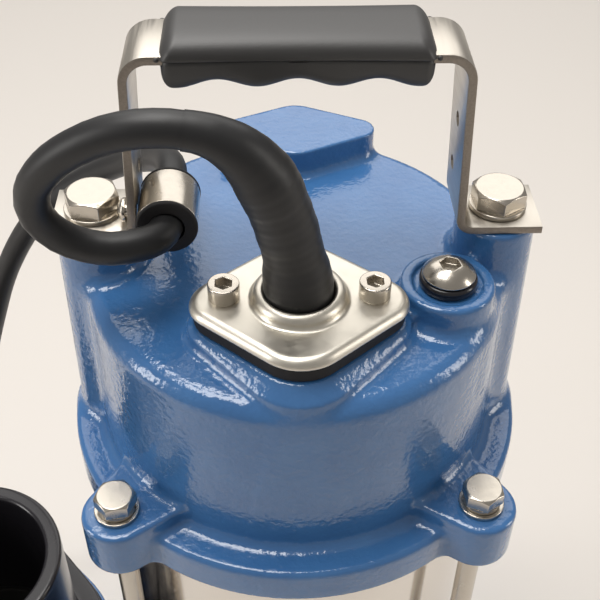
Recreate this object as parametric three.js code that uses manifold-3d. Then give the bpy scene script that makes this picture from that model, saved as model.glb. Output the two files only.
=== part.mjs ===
// Submersible sump pump with a motor shell, cast covers, a side outlet and its power cable.
// Millimetres, +Z up. The origin is on the motor axis, on the underside of the base plate.
// +X points to the vent plug side, -Y to the cable gland, and the outlet is on -X.

import * as THREE from 'three';
import { mergeVertices } from 'three/addons/utils/BufferGeometryUtils.js';
import Module from 'manifold-3d';

const wasm = await Module();
wasm.setup();

// ---------------------------------------------------------------- driving dimensions

const GAP = 0.3;                     // clearance kept between neighbouring pieces
const FACETS = 0.5;                  // share of each shape's nominal number of sides

// pump end
const BASE_R = 98;                   // strainer and lower plate radius
const BASE_TOP = 27.7;
const PLATE_TOP = 60;                // top of the suction plate's spigot
const CASING_R = 100;
const CASING_BOTTOM = 36.3;
const CASING_TOP = 139.7;
const CHAMBER_R = 82;
const EYE_R = 36;                    // suction eye
const IMPELLER_R = 64;

// outlet
const OUTLET_X = -159;
const OUTLET_Z = 84;                 // height of the outlet branch
const OUTLET_BORE_R = 38;
const OUTLET_R = 47;
const OUTLET_FLANGE_R = 62;
const CONNECTOR_R = 46;
const CONNECTOR_TOP = 223;
const OUTLET_BOLT_Y = 66;

// motor
const TIE_R = 91.2;                  // bolt circle of the four long tie bolts
const SHELL_R = 78;
const SHELL_WALL = 2;
const SHELL_BOTTOM = 176.3;
const SHELL_TOP = 332.7;
const SHAFT_R = 12;

// top cover
const FLANGE_R = 88;
const FLANGE_BOTTOM = 325;
const FLANGE_TOP = 340.5;
const WALL_R = 75;
const DECK_Z = 414;
const EAR_TOP = 348.2;
const GLAND_Y = -39.5;
const GLAND_BOSS_TOP = 416;
const GASKET_T = 5;
const GLAND_SCREW_X = 24.3;
const GLAND_SCREW_Y = GLAND_Y + 1;
const HANDLE_BOSS_TOP = 428.6;
const HANDLE_BOLT_X = 70;
const VENT = [50.5, -26];
const VENT_BOSS_TOP = 420;

// handle
const STRAP_WIDTH = 25;
const STRAP_T = 3;
const STRAP_TOP = 496.5;
const STRAP_X_TOP = 54;              // outer face of each leg at the top
const STRAP_X_FOOT = 57;             // outer face of each leg at the foot
const FOOT_X = 83.5;
const GRIP_X = 42;

// power cable
const CABLE_D = 11;
const CABLE_R = CABLE_D / 2;
const CLIP = [-43.2, -7, 437];       // middle of the cable clip on the left leg
const COIL_MID_R = 86;
const COIL_PITCH = 11.4;
const COIL_LAYERS = 4;               // layers on each other, and turns beside each other
const COIL_FOOT = 2;                 // the tie runs under the coil
const COIL_OUTER = COIL_MID_R + 1.5 * COIL_PITCH;
const COIL_TOP = COIL_FOOT + COIL_LAYERS * COIL_PITCH;
const COIL_CENTRE = [-249.6 - COIL_OUTER, 0];
const PLUG_R = 17.6;
const PLUG_X = COIL_CENTRE[0] - COIL_MID_R;   // the plug lies on the coil, with its pins towards +Y
const PLUG_Z = COIL_TOP + PLUG_R + 0.4;
const RELIEF_Y = -24;

// ---------------------------------------------------------------- solid helpers

function solid(geometry) {
  const bare = geometry.index ? geometry.toNonIndexed() : geometry.clone();
  bare.deleteAttribute('normal');
  bare.deleteAttribute('uv');
  const merged = mergeVertices(bare, 1e-4);
  const p = merged.attributes.position.array;
  const index = merged.index.array;
  let volume = 0;
  const tris = [];
  for (let i = 0; i < index.length; i += 3) {
    const [a, b, c] = [index[i], index[i + 1], index[i + 2]];
    if (a === b || b === c || c === a) continue;
    tris.push(a, b, c);
    const A = new THREE.Vector3(p[3 * a], p[3 * a + 1], p[3 * a + 2]);
    const B = new THREE.Vector3(p[3 * b], p[3 * b + 1], p[3 * b + 2]);
    const C = new THREE.Vector3(p[3 * c], p[3 * c + 1], p[3 * c + 2]);
    volume += A.dot(B.cross(C));
  }
  if (volume < 0) {
    for (let i = 0; i < tris.length; i += 3) [tris[i], tris[i + 1]] = [tris[i + 1], tris[i]];
  }
  return new wasm.Manifold(new wasm.Mesh({
    numProp: 3,
    vertProperties: new Float32Array(p),
    triVerts: new Uint32Array(tris),
  }));
}

// a number of sides that divides by four, so that neighbours' facets line up
function facets(sides) {
  return Math.max(8, 4 * Math.round((sides * FACETS) / 4));
}

function union(...list) {
  return list.reduce((a, b) => a.add(b));
}

function cut(body, ...tools) {
  return tools.reduce((a, b) => a.subtract(b), body);
}

// an upright cylinder or cone from z0 to z1
function cyl(r, z0, z1, x = 0, y = 0, sides = 32, rTop = r) {
  const g = new THREE.CylinderGeometry(rTop, r, z1 - z0, facets(sides));
  g.rotateX(Math.PI / 2);
  g.translate(x, y, (z0 + z1) / 2);
  return solid(g);
}

// a cylinder that lies along X or Y
function bar(r, axis, from, to, a, b, sides = 24) {
  const g = new THREE.CylinderGeometry(r, r, to - from, facets(sides));
  if (axis === 'x') {
    g.rotateZ(Math.PI / 2);
    g.translate((from + to) / 2, a, b);
  } else {
    g.translate(a, (from + to) / 2, b);
  }
  return solid(g);
}

function block(x0, x1, y0, y1, z0, z1) {
  const g = new THREE.BoxGeometry(x1 - x0, y1 - y0, z1 - z0);
  g.translate((x0 + x1) / 2, (y0 + y1) / 2, (z0 + z1) / 2);
  return solid(g);
}

// a body of revolution about Z from [radius, height] pairs that start and end on the axis
function turned(pairs, sides = 48, x = 0, y = 0) {
  const g = new THREE.LatheGeometry(pairs.map(([r, z]) => new THREE.Vector2(r, z)), facets(sides));
  g.rotateX(Math.PI / 2);
  g.translate(x, y, 0);
  return solid(g);
}

// a ring of rectangular section
function ring(rIn, rOut, z0, z1, x = 0, y = 0, sides = 48) {
  return turned([[rIn, z0], [rOut, z0], [rOut, z1], [rIn, z1], [rIn, z0]], sides, x, y);
}

// a ring of round section
function torus(r, section, z, x = 0, y = 0, sides = 48) {
  const g = new THREE.TorusGeometry(r, section, 6, facets(sides));
  g.translate(x, y, z);
  return solid(g);
}

function prism(shape, z0, z1, curveSegments = 3) {
  const g = new THREE.ExtrudeGeometry(shape, { depth: z1 - z0, bevelEnabled: false, curveSegments });
  g.translate(0, 0, z0);
  return solid(g);
}

// a rhombus with round corners: two end arcs on X and two wider arcs on Y
function rhombus(cx, cy, halfX, halfY, endR, sideR) {
  const shape = new THREE.Shape();
  const ex = halfX - endR;
  const sy = halfY - sideR;
  const turn = Math.acos((sideR - endR) / Math.hypot(ex, sy)) - Math.atan2(sy, ex);
  shape.absarc(cx + ex, cy, endR, -turn, turn, false);
  shape.absarc(cx, cy + sy, sideR, turn, Math.PI - turn, false);
  shape.absarc(cx - ex, cy, endR, Math.PI - turn, Math.PI + turn, false);
  shape.absarc(cx, cy - sy, sideR, Math.PI + turn, 2 * Math.PI - turn, false);
  shape.closePath();
  return shape;
}

function roundRect(x0, x1, y0, y1, r) {
  const shape = new THREE.Shape();
  shape.absarc(x1 - r, y0 + r, r, -Math.PI / 2, 0, false);
  shape.absarc(x1 - r, y1 - r, r, 0, Math.PI / 2, false);
  shape.absarc(x0 + r, y1 - r, r, Math.PI / 2, Math.PI, false);
  shape.absarc(x0 + r, y0 + r, r, Math.PI, 1.5 * Math.PI, false);
  shape.closePath();
  return shape;
}

function disc(r) {
  const shape = new THREE.Shape();
  shape.absarc(0, 0, r, 0, 2 * Math.PI, false);
  return shape;
}

// a round rod along a smooth curve through points
function rod(points, r, steps, sides = 8) {
  const curve = new THREE.CatmullRomCurve3(points.map((p) => new THREE.Vector3(...p)), false, 'centripetal');
  const circle = disc(r);
  const g = new THREE.ExtrudeGeometry(circle, {
    extrudePath: curve, steps, bevelEnabled: false, curveSegments: sides / 2,
  });
  return solid(g);
}

// a hexagonal prism with one corner towards -Y
function hexagon(acrossFlats, z0, z1, x, y) {
  const g = new THREE.CylinderGeometry(acrossFlats / Math.sqrt(3), acrossFlats / Math.sqrt(3), z1 - z0, 6);
  g.rotateX(Math.PI / 2);
  g.translate(x, y, (z0 + z1) / 2);
  return solid(g);
}

// positions of the four tie bolts, on the diagonals
const TIE_POINTS = [45, 135, 225, 315].map((deg) => {
  const a = THREE.MathUtils.degToRad(deg);
  return [TIE_R * Math.cos(a), TIE_R * Math.sin(a)];
});

// ---------------------------------------------------------------- the assembly

const pump = new THREE.Group();
pump.name = 'sump_pump';

const FINISH = {
  enamel: { color: 0x3d6ea6, roughness: 0.25, metalness: 0.0 },
  steel: { color: 0xc9c3ba, roughness: 0.3, metalness: 1.0 },
  rubber: { color: 0x1c1c1e, roughness: 0.65, metalness: 0.0 },
  plastic: { color: 0x17181b, roughness: 0.4, metalness: 0.0 },
  iron: { color: 0x6d6d6c, roughness: 0.6, metalness: 0.8 },
  copper: { color: 0xb06a3a, roughness: 0.4, metalness: 0.9 },
  ceramic: { color: 0xd8d4c8, roughness: 0.4, metalness: 0.0 },
  grey: { color: 0x9a9c9e, roughness: 0.55, metalness: 0.0 },
};

function add(name, body, finish) {
  const mesh = body.getMesh();
  const geometry = new THREE.BufferGeometry();
  geometry.setAttribute('position', new THREE.BufferAttribute(mesh.vertProperties, 3));
  geometry.setIndex(new THREE.BufferAttribute(mesh.triVerts, 1));
  geometry.computeVertexNormals();
  const part = new THREE.Mesh(geometry, new THREE.MeshStandardMaterial(FINISH[finish]));
  part.name = name;
  pump.add(part);
}

// ---- base: a plate, ribs that leave the inlet windows, and a top ring

function baseStrainer() {
  const ribs = [];
  for (let i = 0; i < 12; i += 1) {
    const g = new THREE.BoxGeometry(32, 6, 20);
    g.translate(81, 0, 15);
    g.rotateZ(THREE.MathUtils.degToRad(15 + 30 * i));
    ribs.push(solid(g));
  }
  const bolts = baseBoltPoints().map(([x, y]) => cyl(3.5, -1, BASE_TOP + 1, x, y, 12));
  const body = union(cyl(BASE_R, 0, 5, 0, 0, 64), ring(40, BASE_R, 23, BASE_TOP, 0, 0, 64), ...ribs,
    ...baseBoltPoints().map(([x, y]) => cyl(7, 4, 24, x, y, 16)));
  return cut(body, ...bolts, ...baseBoltPoints().map(([x, y]) => cyl(7.5, -1, 3, x, y, 16)));
}

function baseBoltPoints() {
  return [45, 165, 285].map((deg) => {
    const a = THREE.MathUtils.degToRad(deg);
    return [90 * Math.cos(a), 90 * Math.sin(a)];
  });
}

add('base_strainer', baseStrainer(), 'enamel');

const suctionPlate = turned([
  [EYE_R, 28], [BASE_R, 28], [BASE_R, 36], [CHAMBER_R - GAP, 36], [CHAMBER_R - GAP, PLATE_TOP],
  [52, PLATE_TOP], [EYE_R, 46], [EYE_R, 28],
], 64);
add('suction_plate', cut(
  suctionPlate,
  ...baseBoltPoints().map(([x, y]) => cyl(3.5, 20, 40, x, y, 12)),
), 'enamel');

// ---- casing with its side outlet

function outletFlange(z0, z1, r) {
  const lobe = rhombus(OUTLET_X, 0, r, OUTLET_BOLT_Y + 16, r - 1, 16);
  return union(cyl(r, z0, z1, OUTLET_X, 0, 48), prism(lobe, z0, z1));
}

function tieEars(z0, z1, r) {
  return union(...TIE_POINTS.map(([x, y]) => cyl(r, z0, z1, x, y, 24)));
}

function casing() {
  const elbow = new THREE.SphereGeometry(OUTLET_R, 20, 12);
  elbow.translate(OUTLET_X, 0, OUTLET_Z);
  const branch = bar(OUTLET_R, 'x', OUTLET_X, 0, 0, OUTLET_Z, 32);
  const outside = union(
    cyl(CASING_R, CASING_BOTTOM, CASING_TOP - 16, 0, 0, 64),
    cyl(FLANGE_R, CASING_TOP - 20, CASING_TOP, 0, 0, 64),
    tieEars(CASING_TOP - 24, CASING_TOP, 12.8),
    branch,
    solid(elbow),
    cyl(OUTLET_R, OUTLET_Z, 130, OUTLET_X, 0, 32),
    outletFlange(127, 139, OUTLET_FLANGE_R),
  );
  const bend = new THREE.SphereGeometry(OUTLET_BORE_R, 20, 12);
  bend.translate(OUTLET_X, 0, OUTLET_Z);
  return cut(
    outside,
    cyl(CHAMBER_R, 30, 130, 0, 0, 64),
    cyl(84.3, 129.9, 150, 0, 0, 64),
    bar(OUTLET_BORE_R, 'x', OUTLET_X, -40, 0, OUTLET_Z, 32),
    solid(bend),
    cyl(OUTLET_BORE_R, OUTLET_Z, 150, OUTLET_X, 0, 32),
    ...TIE_POINTS.map(([x, y]) => cyl(4.3, CASING_TOP - 22, CASING_TOP + 1, x, y, 12)),
    ...[-1, 1].map((s) => cyl(5.3, 124, 150, OUTLET_X, s * OUTLET_BOLT_Y, 12)),
    ...baseBoltPoints().map(([x, y]) => cyl(3.3, 30, 54, x, y, 12)),
  );
}

add('pump_casing', casing(), 'enamel');

baseBoltPoints().forEach(([x, y], i) => {
  const bolt = union(cyl(6, 0.6, 2.7, x, y, 16), cyl(3, 2.6, 52, x, y, 12));
  add(`base_screw_${i + 1}`, bolt, 'steel');
});

// ---- outlet: gasket, black connector and two bolts

function outletHoles(r) {
  return [-1, 1].map((s) => cyl(r, 120, 180, OUTLET_X, s * OUTLET_BOLT_Y, 16));
}

add('outlet_gasket', cut(
  outletFlange(139.3, 141.3, OUTLET_FLANGE_R - 2),
  cyl(OUTLET_BORE_R, 130, 150, OUTLET_X, 0, 48),
  ...outletHoles(5.4),
), 'rubber');

add('hose_connector', cut(
  union(
    outletFlange(141.6, 148, OUTLET_FLANGE_R - 3.5),
    cyl(CONNECTOR_R, 141.6, CONNECTOR_TOP, OUTLET_X, 0, 48),
  ),
  cyl(OUTLET_BORE_R, 130, 240, OUTLET_X, 0, 48),
  ...outletHoles(5.4),
), 'plastic');

for (const [name, s] of [['front', -1], ['rear', 1]]) {
  const y = s * OUTLET_BOLT_Y;
  add(`outlet_bolt_${name}`, union(
    cyl(10, 148.3, 150.3, OUTLET_X, y, 24),
    hexagon(17, 150.2, 156.8, OUTLET_X, y),
    cyl(5, 125, 149, OUTLET_X, y, 16),
  ), 'steel');
}

// ---- oil chamber, seal plate and mechanical seal

function oilHousing() {
  const outside = union(
    turned([[0, 140], [FLANGE_R - 4, 140], [FLANGE_R, 144], [FLANGE_R, 176], [SHELL_R - SHELL_WALL - GAP, 176],
      [SHELL_R - SHELL_WALL - GAP, 189], [0, 189]], 64),
    tieEars(140, 164, 12.8),
  );
  return cut(
    outside,
    cyl(60, 139, 165, 0, 0, 48),
    cyl(26.3, 172, 195, 0, 0, 40),
    cyl(16, 160, 180, 0, 0, 32),
    turned([[0, 187], [30, 187], [70, 192], [0, 192]], 48),
    ...TIE_POINTS.map(([x, y]) => cyl(4.4, 130, 178, x, y, 12)),
    bar(5, 'y', -100, -50, 0, 152, 16),
    bar(9.3, 'y', -100, -84, 0, 152, 16),
  );
}

add('oil_housing', oilHousing(), 'enamel');
add('oil_plug', union(bar(9, 'y', -89, -84.2, 0, 152, 16), bar(4.7, 'y', -85, -62, 0, 152, 16)), 'steel');
add('seal_plate', ring(20.4, 84, 130.2, 139.5, 0, 0, 64), 'iron');
add('seal_seat', ring(12.4, 20, 130.5, 138.5, 0, 0, 40), 'ceramic');

// ---- motor

const tieTop = EAR_TOP + 9;

add('motor_shell', ring(SHELL_R - SHELL_WALL, SHELL_R, SHELL_BOTTOM, SHELL_TOP, 0, 0, 72), 'steel');
add('stator_core', ring(38.9, SHELL_R - SHELL_WALL - GAP, 205, 285, 0, 0, 64), 'iron');
add('winding_upper', ring(46, 69, 285.3, 300, 0, 0, 40), 'copper');
add('winding_lower', ring(46, 69, 192.5, 204.7, 0, 0, 40), 'copper');
add('upper_bracket', turned([
  [24, 297], [31, 297], [31, 303], [SHELL_R - SHELL_WALL - GAP, 303], [SHELL_R - SHELL_WALL - GAP, 311.5],
  [24, 311.5], [24, 297],
], 64), 'iron');
add('upper_bearing', ring(10.4, 23.6, 297.3, 311, 0, 0, 40), 'steel');
add('lower_bearing', ring(12.4, 26, 172.3, 186.5, 0, 0, 40), 'steel');
add('run_capacitor', cyl(19, 322, 384, 30, 30, 32), 'grey');

// ---- rotor

add('motor_shaft', turned([
  [0, 78], [7, 78], [7, 92], [10, 92], [10, 128], [SHAFT_R, 128], [SHAFT_R, 296.5], [10, 296.5],
  [10, 313], [0, 313],
], 40), 'steel');
add('rotor_core', ring(SHAFT_R + GAP, 38, 206, 284, 0, 0, 64), 'iron');
add('seal_head', ring(SHAFT_R + GAP, 18, 140.5, 158.5, 0, 0, 32), 'steel');

function impeller() {
  const vanes = [];
  for (let i = 0; i < 6; i += 1) {
    const arc = new THREE.Shape();
    arc.absarc(44, 0, 46, Math.PI * 0.62, Math.PI * 0.97, false);
    arc.absarc(44, 0, 41, Math.PI * 0.97, Math.PI * 0.62, true);
    arc.closePath();
    const g = new THREE.ExtrudeGeometry(arc, { depth: 34, bevelEnabled: false, curveSegments: 3 });
    g.translate(0, 0, 71);
    g.rotateZ(THREE.MathUtils.degToRad(60 * i));
    vanes.push(solid(g));
  }
  const body = union(cyl(IMPELLER_R, 104, 110, 0, 0, 64), cyl(19, 92.6, 124, 0, 0, 32), ...vanes);
  const kept = body.intersect(cyl(IMPELLER_R, 60, 130, 0, 0, 64));
  const keyway = block(-1.8, 1.8, 8, 12.6, 92, 126);
  return cut(kept, cyl(10.3, 60, 130, 0, 0, 40), keyway, cyl(16, 60, 92.6, 0, 0, 32));
}

add('impeller', impeller(), 'iron');
add('impeller_key', block(-1.5, 1.5, 10.25, 12.2, 96, 120), 'steel');
add('impeller_nut', cut(
  union(hexagon(22, 80, 90, 0, 0), cyl(15, 89.5, 92, 0, 0, 32)),
  cyl(7.3, 70, 95, 0, 0, 32),
), 'steel');

// ---- top cover

function coverBody() {
  const profile = [[0, FLANGE_BOTTOM], [FLANGE_R, FLANGE_BOTTOM], [FLANGE_R, FLANGE_TOP - 2],
    [FLANGE_R - 2, FLANGE_TOP], [WALL_R + 1, FLANGE_TOP], [WALL_R, DECK_Z - 6]];
  for (let i = 1; i <= 2; i += 1) {
    const a = (i / 2) * Math.PI / 2;
    profile.push([WALL_R - 6 + 6 * Math.cos(a), DECK_Z - 6 + 6 * Math.sin(a)]);
  }
  profile.push([0, DECK_Z]);
  return turned(profile, 72);
}

function earPad([x, y]) {
  const a = Math.atan2(y, x);
  const pad = new THREE.Shape();
  pad.moveTo(66, -17);
  pad.lineTo(72, -17);
  pad.absarc(TIE_R, 0, 12.8, -1.75, 1.75, false);
  pad.lineTo(72, 17);
  pad.lineTo(66, 17);
  pad.closePath();
  const g = new THREE.ExtrudeGeometry(pad, { depth: EAR_TOP - 327, bevelEnabled: false, curveSegments: 5 });
  g.translate(0, 0, 327);
  g.rotateZ(a);
  return solid(g);
}

function cover() {
  const outside = union(
    coverBody(),
    ...TIE_POINTS.map(earPad),
    ...[-1, 1].map((s) => cyl(15.5, FLANGE_TOP - 5, HANDLE_BOSS_TOP, s * HANDLE_BOLT_X, 0, 32, 14)),
    prism(rhombus(0, GLAND_Y, 35.2, 30, 11, 16), 404, GLAND_BOSS_TOP),
    prism(rhombus(1.5, 62.5, 31.5, 17.5, 7, 12), 404, DECK_Z + 10),
    cyl(17.2, 398, VENT_BOSS_TOP, ...VENT, 32, 16),
    ring(70, SHELL_R - SHELL_WALL - GAP, 312, FLANGE_BOTTOM + 2, 0, 0, 64),
  );
  return cut(
    outside,
    cyl(70, 300, 405, 0, 0, 64, 66),
    ring(SHELL_R - SHELL_WALL - GAP, SHELL_R + GAP, 320, 333, 0, 0, 72),
    ring(72.6, 80, 318, 322, 0, 0, 64),
    cyl(11.5, 400, 430, 0, GLAND_Y, 32),
    ...[-1, 1].map((s) => cyl(3.3, 408, 430, s * GLAND_SCREW_X, GLAND_SCREW_Y, 12)),
    ...[-1, 1].map((s) => cyl(5.3, 402, 440, s * HANDLE_BOLT_X, 0, 16)),
    ...TIE_POINTS.map(([x, y]) => cyl(4.3, 320, 352, x, y, 16)),
    cyl(12, VENT_BOSS_TOP - 1.5, 430, ...VENT, 32),
    cyl(5.3, 400, 430, ...VENT, 16),
  );
}

add('top_cover', cover(), 'enamel');
add('cover_o_ring', torus(74.2, 1.4, 320, 0, 0, 64), 'rubber');

TIE_POINTS.forEach(([x, y], i) => {
  add(`tie_washer_${i + 1}`, ring(4.3, 8, EAR_TOP + GAP, EAR_TOP + 1.7, x, y, 20), 'steel');
  add(`tie_bolt_${i + 1}`, union(
    cyl(6.6, EAR_TOP + 2, EAR_TOP + 3.9, x, y, 16),
    hexagon(13, EAR_TOP + 3.7, tieTop, x, y),
    cyl(4, CASING_TOP - 20, EAR_TOP + 3, x, y, 12),
  ), 'steel');
});

// ---- handle

function strap() {
  const outline = new THREE.Shape();
  const z0 = HANDLE_BOSS_TOP + GAP;
  const corner = 9;
  const inside = STRAP_X_TOP - STRAP_T;
  const under = STRAP_TOP - STRAP_T;
  outline.moveTo(-FOOT_X, z0);
  outline.lineTo(-STRAP_X_FOOT + STRAP_T - 3, z0);
  outline.quadraticCurveTo(-STRAP_X_FOOT + STRAP_T, z0, -STRAP_X_FOOT + STRAP_T, z0 + 3);
  outline.lineTo(-inside, STRAP_TOP - corner);
  outline.quadraticCurveTo(-inside, under, -STRAP_X_TOP + corner, under);
  outline.lineTo(STRAP_X_TOP - corner, under);
  outline.quadraticCurveTo(inside, under, inside, STRAP_TOP - corner);
  outline.lineTo(STRAP_X_FOOT - STRAP_T, z0 + 3);
  outline.quadraticCurveTo(STRAP_X_FOOT - STRAP_T, z0, STRAP_X_FOOT - STRAP_T + 3, z0);
  outline.lineTo(FOOT_X, z0);
  outline.lineTo(FOOT_X, z0 + STRAP_T);
  outline.lineTo(STRAP_X_FOOT + 1, z0 + STRAP_T);
  outline.lineTo(STRAP_X_FOOT, z0 + STRAP_T + 2);
  outline.lineTo(STRAP_X_TOP, STRAP_TOP - corner);
  outline.quadraticCurveTo(STRAP_X_TOP, STRAP_TOP, STRAP_X_TOP - corner, STRAP_TOP);
  outline.lineTo(-STRAP_X_TOP + corner, STRAP_TOP);
  outline.quadraticCurveTo(-STRAP_X_TOP, STRAP_TOP, -STRAP_X_TOP, STRAP_TOP - corner);
  outline.lineTo(-STRAP_X_FOOT, z0 + STRAP_T + 2);
  outline.lineTo(-STRAP_X_FOOT - 1, z0 + STRAP_T);
  outline.lineTo(-FOOT_X, z0 + STRAP_T);
  outline.closePath();
  const g = new THREE.ExtrudeGeometry(outline, { depth: STRAP_WIDTH, bevelEnabled: false, curveSegments: 4 });
  g.rotateX(Math.PI / 2);
  g.translate(0, STRAP_WIDTH / 2, 0);
  const holes = [[447.5, 4.2], [467, 0]].flatMap(([z, y]) => [-1, 1].map((s) => {
    const from = s < 0 ? -62 : 46;
    return bar(2.6, 'x', from, from + 16, y, z, 12);
  }));
  return cut(
    solid(g),
    ...[-1, 1].map((s) => cyl(5.4, 425, 440, s * HANDLE_BOLT_X, 0, 16)),
    ...holes,
    bar(2.6, 'x', -60, -48, CLIP[1], CLIP[2], 12),
  );
}

add('handle_strap', strap(), 'steel');

// the grip's underside has three finger hollows between four lobes
function grip() {
  const bottom = 482;
  const top = 503;
  const outline = new THREE.Shape();
  outline.moveTo(-GRIP_X, 494);
  outline.lineTo(-GRIP_X + 1, 486);
  const steps = 24;
  for (let i = 0; i <= steps; i += 1) {
    const x = -GRIP_X + 5 + ((2 * GRIP_X - 10) * i) / steps;
    outline.lineTo(x, bottom + 1.4 - 1.4 * Math.cos((x / 24.5) * 2 * Math.PI + Math.PI));
  }
  outline.lineTo(GRIP_X - 1, 486);
  outline.lineTo(GRIP_X, 494);
  outline.quadraticCurveTo(GRIP_X - 1, top, GRIP_X - 6, top);
  outline.lineTo(-GRIP_X + 6, top);
  outline.quadraticCurveTo(-GRIP_X + 1, top, -GRIP_X, 494);
  outline.closePath();
  const g = new THREE.ExtrudeGeometry(outline, { depth: 40, bevelEnabled: false, curveSegments: 4 });
  g.rotateX(Math.PI / 2);
  g.translate(0, 20, 0);
  const section = new THREE.ExtrudeGeometry(
    roundRect(-14, 14, bottom - 1, top, 8),
    { depth: 2 * GRIP_X + 4, bevelEnabled: false, curveSegments: 4 },
  );
  section.rotateX(Math.PI / 2);
  section.rotateZ(Math.PI / 2);
  section.translate(-GRIP_X - 2, 0, 0);
  const slot = block(
    -60, 60, -STRAP_WIDTH / 2 - GAP, STRAP_WIDTH / 2 + GAP, STRAP_TOP - STRAP_T - GAP, STRAP_TOP + GAP,
  );
  return cut(solid(g).intersect(solid(section)), slot);
}

add('handle_grip', grip(), 'plastic');

for (const [name, s] of [['left', -1], ['right', 1]]) {
  const x = s * HANDLE_BOLT_X;
  const seat = HANDLE_BOSS_TOP + GAP + STRAP_T;
  add(`handle_washer_${name}`, ring(5.4, 10, seat + GAP, seat + 2, x, 0, 28), 'steel');
  add(`handle_bolt_${name}`, union(
    hexagon(17, seat + 2.3, 440, x, 0),
    cyl(5, 404, seat + 2.5, x, 0, 16),
  ), 'steel');
}

// ---- cable gland

const plateBottom = GLAND_BOSS_TOP + GAP + GASKET_T + GAP;
const glandScrewHoles = [-1, 1].map((s) => cyl(3.3, 408, 440, s * GLAND_SCREW_X, GLAND_SCREW_Y, 12));

add('gland_gasket', cut(
  prism(rhombus(0, GLAND_Y, 33.8, 28.6, 10, 15.5), GLAND_BOSS_TOP + GAP, plateBottom - GAP),
  cyl(11.5, 410, 430, 0, GLAND_Y, 32),
  ...glandScrewHoles,
), 'rubber');

add('gland_plate', cut(
  union(
    prism(rhombus(0, GLAND_Y, 34.6, 29.4, 10.6, 16), plateBottom, plateBottom + 2.6),
    cyl(19, plateBottom + 2, plateBottom + 4.6, 0, GLAND_Y, 40, 16),
    cyl(16, plateBottom + 4, 429.5, 0, GLAND_Y, 40, 14),
  ),
  cyl(11.6, 410, 440, 0, GLAND_Y, 32),
  ...glandScrewHoles,
), 'steel');

for (const [name, s] of [['left', -1], ['right', 1]]) {
  const x = s * GLAND_SCREW_X;
  const y = GLAND_SCREW_Y;
  add(`gland_screw_${name}`, cut(
    union(cyl(5, plateBottom + 2.9, 430.2, x, y, 24), cyl(3, 409, plateBottom + 3, x, y, 12)),
    hexagon(5, 427.2, 431, x, y),
  ), 'steel');
}

// ---- vent plug

add('vent_seal', ring(5.4, 9.8, VENT_BOSS_TOP - 1.2, VENT_BOSS_TOP + 2.6, ...VENT, 32), 'rubber');
add('vent_plug', cut(
  union(
    turned([[0, 423], [9, 423], [8.6, 425.4], [7, 427], [4.4, 428], [0, 428]], 32, ...VENT),
    cyl(5, 406, 423.4, ...VENT, 16),
  ),
  hexagon(5.5, 424.6, 430, ...VENT),
), 'steel');

// ---- power cable: sleeve at the gland, loop, clip, drop, coil and plug

const SLEEVE_ROUTE = [
  [0, GLAND_Y, 408], [0, GLAND_Y, 424], [-1.2, -39.8, 438], [-3.1, -40.5, 449.7], [-6.7, -42, 464],
  [-11.2, -43.5, 475.7], [-17.2, -45, 484.6], [-23.8, -45.5, 489.5], [-28.7, -45.5, 491.3],
];

const LOOP_ROUTE = [
  [-28.7, -45.5, 491.3], [-36, -45.5, 492.6], [-44.6, -45, 492.3], [-54.1, -43.5, 489.5], [-63.6, -41.5, 484.2],
  [-72.8, -38.5, 476], [-79.6, -35, 465], [-80.6, -32, 453.6], [-75.6, -30.2, 444.6], [-68.1, -29.2, 439.6],
  [-59.8, -28.6, 437.6], [-51.8, -26.4, 437.2], [-45.8, -22.6, 437], [CLIP[0], -16, CLIP[2]], [...CLIP],
];

const DROP_ROUTE = [
  [CLIP[0], 6, CLIP[2]], [-44.2, 19, 436], [-48, 33, 430.5], [-55, 47, 422], [-66, 62, 410.5], [-82, 75, 396],
  [-101, 84, 379], [-120, 91, 356], [-137, 96, 326], [-152, 101, 288], [-168, 106, 240], [-184, 111, 188],
  [-199, 115, 136], [-214, 117, 86], [-228, 114, 44], [-238, 106, 17], [-245, 90, 7.6], [-248.6, 68, CABLE_R + 1],
  [-249.6, 42, CABLE_R + 1.6], [-249.6, 18, CABLE_R + COIL_FOOT], [-249.6, 0, CABLE_R + COIL_FOOT],
];

const TAIL_ROUTE = [
  [PLUG_X + 50.7, -96.9, COIL_TOP - COIL_PITCH / 2], [PLUG_X + 31.4, -87.3, COIL_TOP - 4.3],
  [PLUG_X + 15.8, -72.7, COIL_TOP + 2.2], [PLUG_X + 5.4, -54.4, COIL_TOP + 11.2],
  [PLUG_X + 0.8, -38, COIL_TOP + 16.9], [PLUG_X, RELIEF_Y - 1, PLUG_Z],
];

function smooth(route) {
  return new THREE.CatmullRomCurve3(route.map((p) => new THREE.Vector3(...p)), false, 'centripetal');
}

// the same route with its first stretch left out
function startPast(route, distance) {
  const curve = smooth(route);
  const count = 160;
  const first = Math.ceil((distance / curve.getLength()) * count);
  return curve.getSpacedPoints(count).slice(first).map((p) => p.toArray());
}

const coilHalf = (COIL_LAYERS * COIL_PITCH) / 2 + 0.4;
const coilRoom = ring(
  COIL_MID_R - coilHalf - GAP, COIL_MID_R + coilHalf + GAP, COIL_FOOT - 1, COIL_TOP + GAP, ...COIL_CENTRE, 40,
);

add('cable_sleeve', rod(SLEEVE_ROUTE, 9.6, 12, 10), 'rubber');
add('power_cable', cut(
  rod(startPast([...LOOP_ROUTE, ...DROP_ROUTE], GAP), CABLE_R, 56, 8),
  coilRoom,
), 'rubber');
add('cable_coil', ring(
  COIL_MID_R - coilHalf, COIL_MID_R + coilHalf, COIL_FOOT, COIL_TOP, ...COIL_CENTRE, 40,
), 'rubber');
add('cable_tail', cut(
  rod(TAIL_ROUTE, CABLE_R, 16, 8),
  cyl(COIL_OUTER + CABLE_D, 0, COIL_TOP + GAP, ...COIL_CENTRE, 40),
), 'rubber');

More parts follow.
